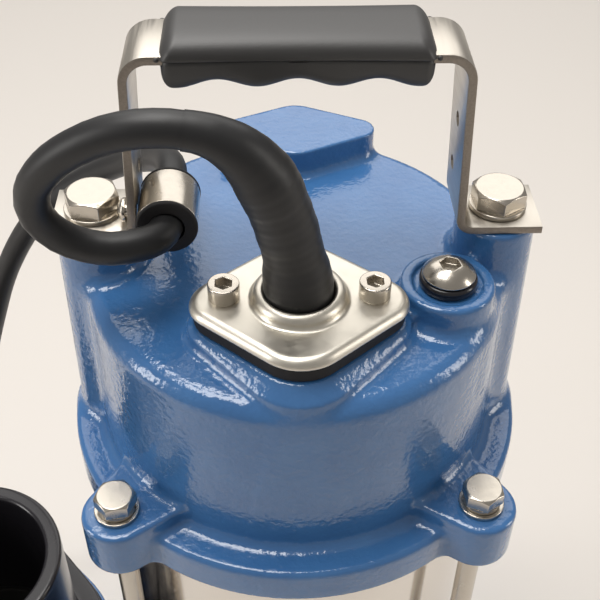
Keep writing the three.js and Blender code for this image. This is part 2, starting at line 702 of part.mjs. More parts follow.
// the tie is a flat band round the coil's section
function coilTie() {
  const x0 = COIL_MID_R - coilHalf - 4 * GAP;
  const x1 = COIL_MID_R + coilHalf + GAP;
  const outside = block(x0 - 1.3, x1 + 1.3, -3, 3, COIL_FOOT - GAP - 1.3, COIL_TOP + GAP + 1.3);
  const inside = block(x0, x1, -4, 4, COIL_FOOT - GAP, COIL_TOP + GAP);
  return cut(outside, inside).rotate([0, 0, 60]).translate([...COIL_CENTRE, 0]);
}

add('coil_tie', coilTie(), 'plastic');

// a turned solid that lies along Y, on the plug's axis
function alongY(pairs, y0, sides) {
  const g = new THREE.LatheGeometry(pairs.map(([r, y]) => new THREE.Vector2(r, y)), facets(sides));
  g.translate(PLUG_X, y0, PLUG_Z);
  return solid(g);
}

const plugY = RELIEF_Y + 25.4;

add('plug_strain_relief', alongY([[0, 0], [CABLE_R + 0.6, 0], [9, 25], [0, 25]], RELIEF_Y, 20), 'rubber');
add('cable_plug', union(
  alongY([[0, 0], [11, 0], [15, 5], [15.5, 22], [PLUG_R, 26], [PLUG_R, 36], [0, 36]], plugY, 28),
  ...[-1, 1].map((s) => bar(2.4, 'y', plugY + 35, plugY + 54.7, PLUG_X + s * 9.5, PLUG_Z, 12)),
), 'plastic');

// ---- cable clip on the left leg

add('clip_cushion', cut(
  union(
    bar(9.2, 'y', CLIP[1] - 10.6, CLIP[1] + 10.6, CLIP[0], CLIP[2], 32),
    ...[-10.6, 9.4].map((d) => bar(10.3, 'y', CLIP[1] + d, CLIP[1] + d + 1.2, CLIP[0], CLIP[2], 32)),
  ),
  bar(CABLE_R + 2.2, 'y', CLIP[1] - 20, CLIP[1] + 20, CLIP[0], CLIP[2], 32),
), 'rubber');
add('clip_band', cut(
  bar(10.2, 'y', CLIP[1] - 9, CLIP[1] + 9, CLIP[0], CLIP[2], 40),
  bar(9.5, 'y', CLIP[1] - 20, CLIP[1] + 20, CLIP[0], CLIP[2], 40),
), 'steel');
add('clip_rivet', union(
  bar(4.1, 'x', -60.2, -57.7, CLIP[1], CLIP[2], 16),
  bar(2.2, 'x', -57.8, CLIP[0] - 10.6, CLIP[1], CLIP[2], 12),
), 'steel');

export default pump;
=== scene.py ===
"""A submersible sump pump: the looks of every piece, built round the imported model.

The frame's units are metres. Shapes are worked out in millimetres and scaled at the end.
"""

import math

import bmesh
import bpy
import numpy as np
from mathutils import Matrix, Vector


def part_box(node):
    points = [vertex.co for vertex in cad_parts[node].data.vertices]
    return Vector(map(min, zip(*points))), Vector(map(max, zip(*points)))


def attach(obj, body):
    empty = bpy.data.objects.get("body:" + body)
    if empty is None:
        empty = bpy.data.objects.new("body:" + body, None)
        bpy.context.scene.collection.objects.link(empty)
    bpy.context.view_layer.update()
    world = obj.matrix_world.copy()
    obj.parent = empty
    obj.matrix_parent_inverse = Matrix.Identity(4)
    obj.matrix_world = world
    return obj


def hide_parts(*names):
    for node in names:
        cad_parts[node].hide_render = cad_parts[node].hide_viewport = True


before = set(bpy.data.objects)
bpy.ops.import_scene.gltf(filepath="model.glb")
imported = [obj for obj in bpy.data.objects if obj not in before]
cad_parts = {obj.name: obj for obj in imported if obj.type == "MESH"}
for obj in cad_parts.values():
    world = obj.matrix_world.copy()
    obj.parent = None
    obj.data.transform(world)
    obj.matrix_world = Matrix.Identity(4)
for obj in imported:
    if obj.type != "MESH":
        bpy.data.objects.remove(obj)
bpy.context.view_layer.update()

import openvdb
from mathutils import Matrix, Vector

MM = 0.001


# ---------------------------------------------------------------- places in the frame


def span(node):
    """Lowest and highest corner of a CAD node, in millimetres."""
    low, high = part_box(node)
    return np.array(low) / MM, np.array(high) / MM


def middle(node):
    low, high = span(node)
    return (low + high) / 2


COVER_LOW, COVER_HIGH = span("top_cover")
SHELL_LOW, SHELL_HIGH = span("motor_shell")
CASING_LOW, CASING_HIGH = span("pump_casing")
CONNECTOR_LOW, CONNECTOR_HIGH = span("hose_connector")
STRAP_LOW, STRAP_HIGH = span("handle_strap")
GRIP_LOW, GRIP_HIGH = span("handle_grip")
PLATE_TOP = span("gland_plate")[1][2]

# room between a washer and what it lies on
GAP = 0.3

TIE_X = middle("tie_bolt_1")[0]
TIE_R = TIE_X * math.sqrt(2)
HANDLE_BOLT_X = middle("handle_bolt_right")[0]
BOSS_TOP = COVER_HIGH[2]
GLAND = middle("gland_plate")
VENT = middle("vent_plug")
OUTLET_X = middle("hose_connector")[0]
OUTLET_BOLT_Y = middle("outlet_bolt_rear")[1]
CLIP = middle("clip_band")

# sizes that the boxes don't show
FLANGE_R = 88
FLANGE_BOTTOM = 325
FLANGE_TOP = 340.5
WALL_R = 75
DECK_Z = 414
EAR_TOP = 348.2
EAR_R = 12.8
EAR_ROOT = 58
EAR_LEAN = math.radians(12)
GLAND_BOSS_TOP = 416
VENT_BOSS_TOP = 420
GASKET_TOP = 421.8
GLAND_FLAT_TOP = 425.2
OUTLET_Z = 84
OUTLET_WALL_R = 47
OUTLET_BORE_R = 38
OUTLET_LUG_R = 16
STRAP_THICK = 3.0
CABLE_D = 11
CABLE_R = CABLE_D / 2

# an edge that turns by more degrees than this isn't smoothed
SHARP = 35
# the distance that a grid gives for any place outside of its array
OUTSIDE = 50.0


# ---------------------------------------------------------------- camera and light

CAMERA_PLACE = (-8.757, -279.988, 639.141)
CAMERA_PITCH = math.radians(41.773)
CAMERA_YAW = math.radians(-2.1226)
CAMERA_ROLL = math.radians(0.6093)


def make_camera():
    data = bpy.data.cameras.new("camera")
    data.lens = 60
    data.sensor_width = 36
    data.clip_end = 20
    camera = bpy.data.objects.new("camera", data)
    bpy.context.collection.objects.link(camera)
    turn = Matrix.Rotation(CAMERA_YAW, 3, "Z")
    right = turn @ Vector((1, 0, 0))
    down = turn @ Vector((0, -math.sin(CAMERA_PITCH), -math.cos(CAMERA_PITCH)))
    forward = turn @ Vector((0, math.cos(CAMERA_PITCH), -math.sin(CAMERA_PITCH)))
    c, s = math.cos(CAMERA_ROLL), math.sin(CAMERA_ROLL)
    axes = Matrix((c * right - s * down, -(s * right + c * down), -forward)).transposed()
    camera.matrix_world = Matrix.Translation(Vector(CAMERA_PLACE) * MM) @ axes.to_4x4()
    bpy.context.scene.camera = camera


# the lights' places and sizes are in metres
DAYLIGHT = (1.0, 0.98, 0.95)
WARM = (1.0, 0.96, 0.9)
PUMP_MIDDLE = (0, 0, 0.35)


def soft_light(name, place, target, size, power, colour):
    data = bpy.data.lights.new(name, "AREA")
    data.shape = "RECTANGLE"
    data.size, data.size_y = size
    data.energy = power
    data.color = colour
    light = bpy.data.objects.new(name, data)
    bpy.context.collection.objects.link(light)
    light.location = place
    light.rotation_euler = (Vector(target) - Vector(place)).to_track_quat("-Z", "Y").to_euler()


def make_world():
    world = bpy.data.worlds.new("studio")
    bpy.context.scene.world = world
    world.use_nodes = True
    sky = world.node_tree.nodes["Background"]
    sky.inputs["Color"].default_value = (1.0, 0.965, 0.92, 1)
    sky.inputs["Strength"].default_value = 0.3


def make_studio():
    make_world()
    bpy.context.scene.view_settings.view_transform = "Standard"
    soft_light("ceiling", (-0.25, 0.15, 1.7), PUMP_MIDDLE, (1.0, 0.7), 17, DAYLIGHT)
    soft_light("window_back", (0.1, 1.7, 1.85), (0, 0.2, 0.3), (2.8, 1.6), 22, DAYLIGHT)
    soft_light("window_left", (-1.3, -0.35, 0.75), PUMP_MIDDLE, (0.3, 0.9), 6, DAYLIGHT)
    soft_light("window_right", (1.3, -0.25, 0.75), PUMP_MIDDLE, (0.25, 0.9), 4, WARM)
    reach, top, bottom = 2500, -0.6, -1.6
    floor = lathe("floor", [(0, top), (reach, top), (reach, bottom), (0, bottom)])
    floor_object = bpy.data.objects.new("floor", floor)
    bpy.context.collection.objects.link(floor_object)
    floor.materials.append(FINISHES["paper"])


# ---------------------------------------------------------------- meshes


def to_mesh(name, points, faces, sharp_angle=None):
    """A smooth-shaded mesh from points in millimetres and lists of corners."""
    mesh = bpy.data.meshes.new(name)
    mesh.from_pydata((np.asarray(points, float) * MM).tolist(), [], [list(f) for f in faces])
    bm = bmesh.new()
    bm.from_mesh(mesh)
    bmesh.ops.recalc_face_normals(bm, faces=bm.faces)
    bm.to_mesh(mesh)
    bm.free()
    mesh.shade_smooth()
    if sharp_angle:
        mesh.set_sharp_from_angle(angle=math.radians(sharp_angle))
    return mesh


class Field:
    """Distances to a surface on a grid, in millimetres, so that shapes meet in true fillets."""

    def __init__(self, low, high, step):
        self.low = np.array(low, float)
        self.step = step
        self.counts = np.ceil((np.array(high, float) - self.low) / step).astype(int) + 1
        axes = [(self.low[i] + step * np.arange(self.counts[i])).astype(np.float32) for i in range(3)]
        self.x = axes[0][:, None, None]
        self.y = axes[1][None, :, None]
        self.z = axes[2][None, None, :]

    def disc(self, x, y, r):
        return np.hypot(self.x - x, self.y - y) - r

    def mesh(self, name, distance):
        whole = np.array(np.broadcast_to(distance, self.counts), dtype=np.float32, order="C")
        grid = openvdb.FloatGrid(OUTSIDE)
        grid.copyFromArray(whole)
        points, quads = grid.convertToQuads()
        points = (points * self.step + self.low) * MM
        mesh = bpy.data.meshes.new(name)
        mesh.vertices.add(len(points))
        mesh.vertices.foreach_set("co", points.astype(np.float32).ravel())
        mesh.loops.add(quads.size)
        mesh.loops.foreach_set("vertex_index", quads[:, ::-1].astype(np.int32).ravel())
        mesh.polygons.add(len(quads))
        mesh.polygons.foreach_set("loop_start", np.arange(0, quads.size, 4, dtype=np.int32))
        mesh.update(calc_edges=True)
        mesh.shade_smooth()
        return mesh


def slab(along, low, high):
    return np.abs(along - (low + high) / 2) - (high - low) / 2


def prism(flat, thick, edge=0.0):
    """The solid where both distances are negative, with rounded edges."""
    a, b = flat + edge, thick + edge
    return np.minimum(np.maximum(a, b), 0) + np.hypot(np.maximum(a, 0), np.maximum(b, 0)) - edge


def join(a, b, fillet=0.0):
    if not fillet:
        return np.minimum(a, b)
    near_a, near_b = np.maximum(fillet - a, 0), np.maximum(fillet - b, 0)
    return np.maximum(fillet, np.minimum(a, b)) - np.hypot(near_a, near_b)


def cut(a, b, edge=0.0):
    return -join(-a, b, edge)


def rhombus(x, y, centre, half_x, half_y, end_r, side_r):
    """Distance to a rhombus with two round ends on X and two wider round corners on Y."""
    px, py = np.abs(x - centre[0]), np.abs(y - centre[1])
    ex, sy = half_x - end_r, half_y - side_r
    turn = math.acos((side_r - end_r) / math.hypot(ex, sy)) - math.atan2(sy, ex)
    nx, ny = math.cos(turn), math.sin(turn)
    end = np.hypot(px - ex, py) - end_r
    side = np.hypot(px, py - sy) - side_r
    line = nx * (px - ex) + ny * py - end_r
    past_end = nx * py - ny * (px - ex) < 0
    past_side = nx * (py - sy) - ny * px > 0
    return np.where(past_end, end, np.where(past_side, side, line))


def hexagon(x, y, across):
    """Distance to a hexagon with one corner towards -Y."""
    c, s = math.cos(math.pi / 6), math.sin(math.pi / 6)
    a = np.abs(x)
    b = np.abs(x * s + y * c)
    d = np.abs(x * s - y * c)
    return np.maximum(np.maximum(a, b), d) - across / 2


def ear_pads(f):
    """Distance to the outline of the four pads on the diagonals, which widen towards the wall."""
    u = (np.abs(f.x) + np.abs(f.y)) / math.sqrt(2)
    v = np.abs(np.abs(f.x) - np.abs(f.y)) / math.sqrt(2)
    nu, nv = math.sin(EAR_LEAN), math.cos(EAR_LEAN)
    side = nu * (u - TIE_R) + nv * v - EAR_R
    arc = np.hypot(u - TIE_R, v) - EAR_R
    towards_wall = nu * v - nv * (u - TIE_R) > 0
    return np.maximum(np.where(towards_wall, side, arc), EAR_ROOT - u)


def rounded(corners, closed=True, arc_steps=5):
    """A line through corners given as (a, b) or (a, b, radius), with the corners rounded."""
    count = len(corners)
    line = []
    for i, corner in enumerate(corners):
        here = np.array(corner[:2], float)
        r = corner[2] if len(corner) > 2 else 0
        if not r or (not closed and i in (0, count - 1)):
            line.append(here)
            continue
        back = np.array(corners[i - 1][:2], float) - here
        on = np.array(corners[(i + 1) % count][:2], float) - here
        back, on = back / np.linalg.norm(back), on / np.linalg.norm(on)
        half = math.acos(max(-1.0, min(1.0, float(back @ on)))) / 2
        centre = here + (back + on) / np.linalg.norm(back + on) * r / math.sin(half)
        a = here + back * r / math.tan(half) - centre
        b = here + on * r / math.tan(half) - centre
        swing = math.atan2(a[0] * b[1] - a[1] * b[0], a @ b)
        for k in range(arc_steps + 1):
            t = swing * k / arc_steps
            c, s = math.cos(t), math.sin(t)
            line.append(centre + (a[0] * c - a[1] * s, a[0] * s + a[1] * c))
    return np.array(line)


def lathe_points(profile, sides):
    """Points and faces of a closed profile of (radius, height) turned about Z."""
    profile = np.asarray(profile, float)
    angles = 2 * math.pi * np.arange(sides) / sides
    points, rings = [], []
    for r, h in profile:
        if r < 1e-6:
            rings.append([len(points)] * sides)
            points.append((0, 0, h))
        else:
            rings.append(list(range(len(points), len(points) + sides)))
            points += [(r * math.cos(a), r * math.sin(a), h) for a in angles]
    faces = []
    for k in range(len(rings)):
        low, high = rings[k], rings[(k + 1) % len(rings)]
        for i in range(sides):
            j = (i + 1) % sides
            corners = list(dict.fromkeys([low[i], low[j], high[j], high[i]]))
            if len(corners) > 2:
                faces.append(corners)
    return points, faces


def lathe(name, corners, sides=96, centre=(0, 0, 0), axis="z"):
    """A turned piece. Its corners are (radius, height) or (radius, height, rounding)."""
    points, faces = lathe_points(rounded(corners), sides)
    points = np.array(points)
    if axis == "y":
        points = points[:, [0, 2, 1]]
    elif axis == "x":
        points = points[:, [2, 0, 1]]
    return to_mesh(name, points + np.array(centre), faces, SHARP)


def between(first, second, start, end, t):
    return ((end - t) * first + (t - start) * second) / (end - start)


def spline(route, spacing):
    """Points along a centripetal Catmull-Rom curve, which is the curve that the CAD's cables use."""
    route = np.array(route, float)
    padded = np.vstack([2 * route[0] - route[1], route, 2 * route[-1] - route[-2]])
    out = []
    for i in range(1, len(padded) - 2):
        p = padded[i - 1:i + 3]
        gaps = np.maximum(np.sqrt(np.linalg.norm(np.diff(p, axis=0), axis=1)), 1e-4)
        k = np.concatenate([[0], np.cumsum(gaps)])
        count = max(2, int(np.linalg.norm(p[2] - p[1]) / spacing))
        for t in np.linspace(k[1], k[2], count, endpoint=False):
            a = [between(p[j], p[j + 1], k[j], k[j + 1], t) for j in range(3)]
            b = [between(a[j], a[j + 1], k[j], k[j + 2], t) for j in range(2)]
            out.append(between(b[0], b[1], k[1], k[2], t))
    out.append(route[-1])
    return np.array(out)


def swept_faces(rings, size):
    """Faces between rings of points of that size, with flat ends."""
    faces = []
    for k in range(rings - 1):
        for i in range(size):
            j = (i + 1) % size
            faces.append((k * size + i, k * size + j, (k + 1) * size + j, (k + 1) * size + i))
    last = (rings - 1) * size
    faces.append(tuple(range(size))[::-1])
    faces.append(tuple(range(last, last + size)))
    return faces


def tube(name, path, radii, sides, sharp=50):
    """A round tube along a path, with flat ends."""
    path = np.asarray(path, float)
    radii = np.broadcast_to(radii, len(path))
    tangents = np.gradient(path, axis=0)
    tangents /= np.linalg.norm(tangents, axis=1)[:, None]
    side = np.cross(tangents[0], (0.0, 0.0, 1.0))
    if np.linalg.norm(side) < 0.1:
        side = np.cross(tangents[0], (0.0, 1.0, 0.0))
    points = []
    angles = 2 * math.pi * np.arange(sides) / sides
    for place, tangent, r in zip(path, tangents, radii):
        side = side - tangent * (side @ tangent)
        side /= np.linalg.norm(side)
        other = np.cross(tangent, side)
        points.append(place + r * (np.cos(angles)[:, None] * side + np.sin(angles)[:, None] * other))
    return to_mesh(name, np.vstack(points), swept_faces(len(path), sides), sharp)


def merged(name, *meshes):
    """One mesh out of several."""
    bm = bmesh.new()
    for mesh in meshes:
        bm.from_mesh(mesh)
    out = bpy.data.meshes.new(name)
    bm.to_mesh(out)
    bm.free()
    return out


def moved(mesh, x, y, z, turn=0.0):
    """The mesh, turned about Z by degrees and moved."""
    place = Matrix.Translation(Vector((x, y, z)) * MM)
    mesh.transform(place @ Matrix.Rotation(math.radians(turn), 4, "Z"))
    return mesh


def drilled(mesh, *cutters):
    """The mesh with other meshes cut out of it."""
    body = bpy.data.objects.new("body", mesh)
    tool = bpy.data.objects.new("tool", merged("tool", *cutters))
    for o in (body, tool):
        bpy.context.collection.objects.link(o)
    boolean = body.modifiers.new("cut", "BOOLEAN")
    boolean.operation = "DIFFERENCE"
    boolean.solver = "EXACT"
    boolean.object = tool
    depsgraph = bpy.context.evaluated_depsgraph_get()
    result = bpy.data.meshes.new_from_object(body.evaluated_get(depsgraph))
    bpy.data.objects.remove(body)
    bpy.data.objects.remove(tool)
    result.shade_smooth()
    result.set_sharp_from_angle(angle=math.radians(SHARP))
    return result


def piece(name, mesh, finish, nodes, body="root"):
    """Puts a finish on a piece, which rides on its body and stands for its CAD nodes."""
    mesh.materials.clear()
    mesh.materials.append(FINISHES[finish])
    o = bpy.data.objects.new(name, mesh)
    bpy.context.collection.objects.link(o)
    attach(o, body)
    if nodes:
        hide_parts(*nodes)
    return o


# ---------------------------------------------------------------- finishes

FINISHES = {}


class Finish:
    """A Principled material with short calls for procedural detail."""

    def __init__(self, name, colour, roughness, metallic=0.0):
        self.material = bpy.data.materials.new(name)
        self.material.use_nodes = True
        self.tree = self.material.node_tree
        self.shader = self.tree.nodes["Principled BSDF"]
        self.shader.inputs["Base Color"].default_value = (*colour, 1)
        self.shader.inputs["Roughness"].default_value = roughness
        self.shader.inputs["Metallic"].default_value = metallic
        self.last_bump = None
        FINISHES[name] = self.material

    def set(self, **values):
        for socket, value in values.items():
            self.shader.inputs[socket.replace("_", " ")].default_value = value

    def node(self, kind, **values):
        node = self.tree.nodes.new(kind)
        for key, value in values.items():
            setattr(node, key, value)
        return node

    def noise(self, scale, detail, stretch=(1, 1, 1)):
        """Noise in object space. scale is in features per metre."""
        place = self.node("ShaderNodeTexCoord")
        mapping = self.node("ShaderNodeMapping")
        mapping.inputs["Scale"].default_value = stretch
        noise = self.node("ShaderNodeTexNoise")
        noise.inputs["Scale"].default_value = scale
        noise.inputs["Detail"].default_value = detail
        self.tree.links.new(place.outputs["Object"], mapping.inputs["Vector"])
        self.tree.links.new(mapping.outputs["Vector"], noise.inputs["Vector"])
        return noise.outputs["Fac"]

    def ramp(self, noise, out_low=0.0, out_high=1.0):
        """Spreads the usual span of a noise over another span."""
        node = self.node("ShaderNodeMapRange")
        node.inputs["From Min"].default_value = 0.3
        node.inputs["From Max"].default_value = 0.7
        node.inputs["To Min"].default_value = out_low
        node.inputs["To Max"].default_value = out_high
        self.tree.links.new(noise, node.inputs["Value"])
        return node.outputs["Result"]

    def bump(self, height, depth, strength):
        """Adds relief of that depth in millimetres."""
        node = self.node("ShaderNodeBump")
        node.inputs["Strength"].default_value = strength
        node.inputs["Distance"].default_value = depth * MM
        self.tree.links.new(height, node.inputs["Height"])
        if self.last_bump:
            self.tree.links.new(self.last_bump, node.inputs["Normal"])
        self.last_bump = node.outputs["Normal"]
        self.tree.links.new(self.last_bump, self.shader.inputs["Normal"])
        self.tree.links.new(self.last_bump, self.shader.inputs["Coat Normal"])

    def roughness_from(self, value):
        self.tree.links.new(value, self.shader.inputs["Roughness"])

    def colour_between(self, value, first, second):
        mix = self.node("ShaderNodeMix", data_type="RGBA")
        mix.inputs[6].default_value = (*first, 1)
        mix.inputs[7].default_value = (*second, 1)
        self.tree.links.new(value, mix.inputs[0])
        self.tree.links.new(mix.outputs[2], self.shader.inputs["Base Color"])


def make_finishes():
    Finish("paper", (0.74, 0.70, 0.66), 0.9)

    enamel = Finish("enamel", (0.045, 0.15, 0.36), 0.2)
    enamel.set(Coat_Weight=0.7, Coat_Roughness=0.05, Coat_IOR=1.5)
    enamel.bump(enamel.noise(95, 1.0), 0.5, 0.4)
    enamel.bump(enamel.noise(430, 2.0), 0.34, 0.7)
    blue = enamel.ramp(enamel.noise(60, 2.0))
    enamel.colour_between(blue, (0.040, 0.138, 0.34), (0.050, 0.162, 0.38))

    shell = Finish("polished", (0.76, 0.72, 0.67), 0.12, 1.0)
    shell.roughness_from(shell.ramp(shell.noise(300, 3.0, (1, 1, 0.05)), 0.08, 0.2))

    bright = Finish("bright", (0.58, 0.535, 0.47), 0.24, 1.0)
    bright.roughness_from(bright.ramp(bright.noise(300, 2.0), 0.2, 0.28))

    pressed = Finish("pressed", (0.72, 0.68, 0.60), 0.36, 1.0)
    pressed.roughness_from(pressed.ramp(pressed.noise(260, 4.0), 0.32, 0.42))
    pressed.bump(pressed.noise(60, 1.0), 0.15, 0.3)

    strip = Finish("strip", (0.59, 0.55, 0.49), 0.34, 1.0)
    strip.roughness_from(strip.ramp(strip.noise(900, 3.0, (1, 0.04, 1)), 0.28, 0.45))
    strip.bump(strip.noise(2200, 2.0, (1, 0.03, 1)), 0.02, 0.5)

    # the strip's upright edges: rougher cut steel, with a darker colour that is painted shade
    sheared_and_shade = Finish("sheared_and_shade", (0.33, 0.29, 0.25), 0.5, 1.0)
    sheared_and_shade.roughness_from(sheared_and_shade.ramp(sheared_and_shade.noise(1500, 4.0), 0.4, 0.65))
    sheared_and_shade.bump(sheared_and_shade.noise(1800, 3.0), 0.12, 0.7)

    rubber = Finish("rubber", (0.011, 0.010, 0.011), 0.58)
    rubber.set(Specular_IOR_Level=0.35)
    rubber.bump(rubber.noise(500, 3.0), 0.15, 0.4)
    rubber.bump(rubber.noise(120, 2.0), 0.5, 0.3)

    jacket = Finish("jacket", (0.012, 0.012, 0.013), 0.46)
    jacket.bump(jacket.noise(420, 3.0), 0.08, 0.35)

    grip = Finish("moulded", (0.026, 0.025, 0.025), 0.5)
    grip.set(Specular_IOR_Level=0.8)
    grip.bump(grip.noise(900, 3.0), 0.08, 0.5)

    Finish("gloss_black", (0.015, 0.014, 0.017), 0.2)
    Finish("iron", (0.20, 0.20, 0.20), 0.5, 0.9)
    # near-black for the pump's bore: painted shade inside the pipe
    Finish("bare", (0.03, 0.028, 0.026), 0.6)
    Finish("copper", (0.55, 0.26, 0.12), 0.35, 0.9)
    Finish("ceramic", (0.62, 0.60, 0.54), 0.3)
    Finish("can", (0.45, 0.46, 0.47), 0.4)


# ---------------------------------------------------------------- cables, which come first

SLEEVE_ROUTE = [
    (0, -39.5, 408), (0, -39.5, 424), (-1.2, -39.8, 438), (-3.1, -40.5, 449.7), (-6.7, -42, 464),
    (-11.2, -43.5, 475.7), (-17.2, -45, 484.6), (-23.8, -45.5, 489.5), (-28.7, -45.5, 491.3),
]

CLIP_PLACE = (-43.2, -7, 437)
LOOP_ROUTE = [
    (-28.7, -45.5, 491.3), (-36, -45.5, 492.6), (-44.6, -45, 492.3), (-54.1, -43.5, 489.5),
    (-63.6, -41.5, 484.2), (-72.8, -38.5, 476), (-79.6, -35, 465), (-80.6, -32, 453.6),
    (-75.6, -30.2, 444.6), (-68.1, -29.2, 439.6), (-59.8, -28.6, 437.6), (-51.8, -26.4, 437.2),
    (-45.8, -22.6, 437), (-43.2, -16, 437), CLIP_PLACE,
]

COIL_MID_R = 86
COIL_PITCH = 11.4
COIL_LAYERS = 4
COIL_FOOT = 2
COIL_OUTER = COIL_MID_R + 1.5 * COIL_PITCH
COIL_MEETS_X = -249.6
COIL_X = COIL_MEETS_X - COIL_OUTER
COIL_Y = 0
COIL_TOP = COIL_FOOT + COIL_LAYERS * COIL_PITCH
COIL_TURN = math.radians(31 * 180 - 70)
PLUG_X = COIL_X - COIL_MID_R
PLUG_R = 17.6
PLUG_Z = COIL_TOP + PLUG_R + 0.4

DROP_ROUTE = [
    (-43.2, 6, 437), (-44.2, 19, 436), (-48, 33, 430.5), (-55, 47, 422), (-66, 62, 410.5),
    (-82, 75, 396), (-101, 84, 379), (-120, 91, 356), (-137, 96, 326), (-152, 101, 288),
    (-168, 106, 240), (-184, 111, 188), (-199, 115, 136), (-214, 117, 86), (-228, 114, 44),
    (-238, 106, 17), (-245, 90, 7.6), (-248.6, 68, CABLE_R + 1), (COIL_MEETS_X, 42, CABLE_R + 1.6),
    (COIL_MEETS_X, 18, CABLE_R + COIL_FOOT),
]

TAIL_ROUTE = [
    (PLUG_X + 31.4, -87.3, COIL_TOP - 4.3), (PLUG_X + 15.8, -72.7, COIL_TOP + 2.2),
    (PLUG_X + 5.4, -54.4, COIL_TOP + 11.2), (PLUG_X + 0.8, -38, COIL_TOP + 16.9), (PLUG_X, -25, PLUG_Z),
    (PLUG_X, -18, PLUG_Z),
]


def coil_turns():
    """The turns side by side in layers. Each crosses to its neighbour, or climbs, along a short arc."""
    arc = math.radians(25)
    full = 2 * math.pi
    crossings, climbs = [], []
    for layer in range(COIL_LAYERS):
        inward = 1 if layer % 2 == 0 else -1
        first = full * COIL_LAYERS * layer - 2 * arc * layer
        crossings += [(first + full * (k + 1), inward) for k in range(COIL_LAYERS - 1)]
        climbs.append(first + full * COIL_LAYERS - arc)
    points = []
    for angle in np.arange(math.radians(3), COIL_TURN, math.radians(6)):
        place = sum(way * ease((angle - start) / arc) for start, way in crossings)
        level = sum(ease((angle - start) / arc) for start in climbs[:-1])
        r = COIL_OUTER - COIL_PITCH * place
        z = COIL_FOOT + COIL_PITCH * (level + 0.5)
        points.append((COIL_X + r * math.cos(-angle), COIL_Y + r * math.sin(-angle), z))
    return points


def ease(t):
    t = min(1.0, max(0.0, t))
    return t * t * (3 - 2 * t)


def make_cable():
    """The cable from the sleeve's mouth to its plug, as one cord. Gives its length in metres."""
    route = [*LOOP_ROUTE, *DROP_ROUTE, *coil_turns(), *TAIL_ROUTE]
    path = spline(route, 4.0)
    length = float(np.linalg.norm(np.diff(path, axis=0), axis=1).sum()) * MM
    cable = piece(
        "cable", tube("cable", path, CABLE_R, 18), "jacket",
        ["power_cable", "cable_coil", "cable_tail"],
    )
    relief = make_relief()
    plug = make_plug()
    tie = make_tie()
    return length


def make_relief():
    """A tapered strain relief with grooves across it."""
    low, high = span("plug_strain_relief")
    start, end = low[1], high[1]
    corners = [(CABLE_R + 0.1, start), (CABLE_R + 0.9, start, 0.4)]
    grooves = 5
    step = (end - start - 6) / grooves
    for k in range(grooves):
        y = start + 3 + step * k
        r = CABLE_R + 1.2 + 2.2 * (y - start) / (end - start)
        corners += [
            (r, y, 0.4), (r - 0.9, y + 0.3, 0.2), (r - 0.9, y + 1.6, 0.2), (r + 0.2, y + 1.9, 0.4),
        ]
    corners += [(9, end - 1, 0.5), (9, end), (CABLE_R + 0.1, end)]
    mesh = lathe("plug_relief", corners, 48, (PLUG_X, 0, PLUG_Z), "y")
    return piece("plug_relief", mesh, "rubber", ["plug_strain_relief"])


def make_plug():
    """A plain round two-pin plug with a waist to hold it by."""
    low, high = span("cable_plug")
    y = low[1]
    face = y + 36
    body = lathe("plug", [
        (0, y), (9.6, y), (11, y + 1, 1), (12, y + 4, 2), (15, y + 7, 3), (14.2, y + 17, 5),
        (15.5, y + 23, 2), (PLUG_R, y + 26, 1.5), (PLUG_R, face, 1.2), (0, face),
    ], 64, (PLUG_X, 0, PLUG_Z), "y")
    plug = piece("plug", body, "moulded", ["cable_plug"])
    pin_r = 2.4
    root, tip = face - 0.2, high[1]
    for i, side in enumerate((-1, 1)):
        corners = [(0, root), (pin_r, root), (pin_r, tip, 1.6), (0, tip)]
        pin = lathe("pin", corners, 24, (PLUG_X + 9.5 * side, 0, PLUG_Z), "y")
        piece(f"plug_pin_{i + 1}", pin, "bright", []).parent = plug
    return plug


def make_tie():
    """A flat band round the coil's section, with its lock on top."""
    half_w, half_h = 24.4, (COIL_TOP - COIL_FOOT) / 2 + 0.9
    corner = 5
    t, w = 0.55, 2.6
    outline = rounded([
        (-half_w, -half_h, corner), (half_w, -half_h, corner),
        (half_w, half_h, corner), (-half_w, half_h, corner),
    ])
    points, faces = [], []
    count = len(outline)
    for inset, y in ((t, -w), (-t, -w), (-t, w), (t, w)):
        scale = np.array([1 - inset / half_w, 1 - inset / half_h])
        points += [(a * scale[0] + COIL_MID_R, y, b * scale[1]) for a, b in outline]
    for ring in range(4):
        for i in range(count):
            j = (i + 1) % count
            k = (ring + 1) % 4
            faces.append((ring * count + i, ring * count + j, k * count + j, k * count + i))
    band = to_mesh("tie", points, faces, 40)
    lock = lathe("lock", [(0, 0), (4, 0), (4, 3.2, 0.8), (0, 3.2)], 32, (COIL_MID_R, 0, half_h - 2.4))
    tie = merged("tie", band, lock)
    tie = moved(tie, COIL_X, COIL_Y, COIL_FOOT + (COIL_TOP - COIL_FOOT) / 2, 60)
    return piece("tie", tie, "moulded", ["coil_tie"])


def make_sleeve():
    """The thick rubber sleeve at the gland, a little uneven, which narrows to the cable."""
    mouth = (-32.6, -45.5, 492.05)
    path = spline([*SLEEVE_ROUTE, mouth], 0.8)
    along = np.concatenate([[0], np.cumsum(np.linalg.norm(np.diff(path, axis=0), axis=1))])
    total = along[-1]
    foot = 1.6 * np.array([ease((40 - s) / 16) for s in along])
    waves = 0.10 * np.sin(along * 0.31) + 0.07 * np.sin(along * 0.83 + 1.0)
    waves += 0.04 * np.sin(along * 1.9)
    taper = np.array([ease((total - s) / 34) for s in along])
    radii = CABLE_R + 0.25 + (3.85 + waves) * taper + foot
    # the mouth turns in to the cable
    onward = path[-1] - path[-2]
    path = np.vstack([path, path[-1] + onward * 0.05, path[-1] - onward * 1.5])
    radii = np.concatenate([radii, [CABLE_R + 0.1, CABLE_R + 0.1]])
    sleeve = tube("sleeve", path, radii, 48, 60)
    return piece("sleeve", sleeve, "jacket", ["cable_sleeve"])


# ---------------------------------------------------------------- top cover


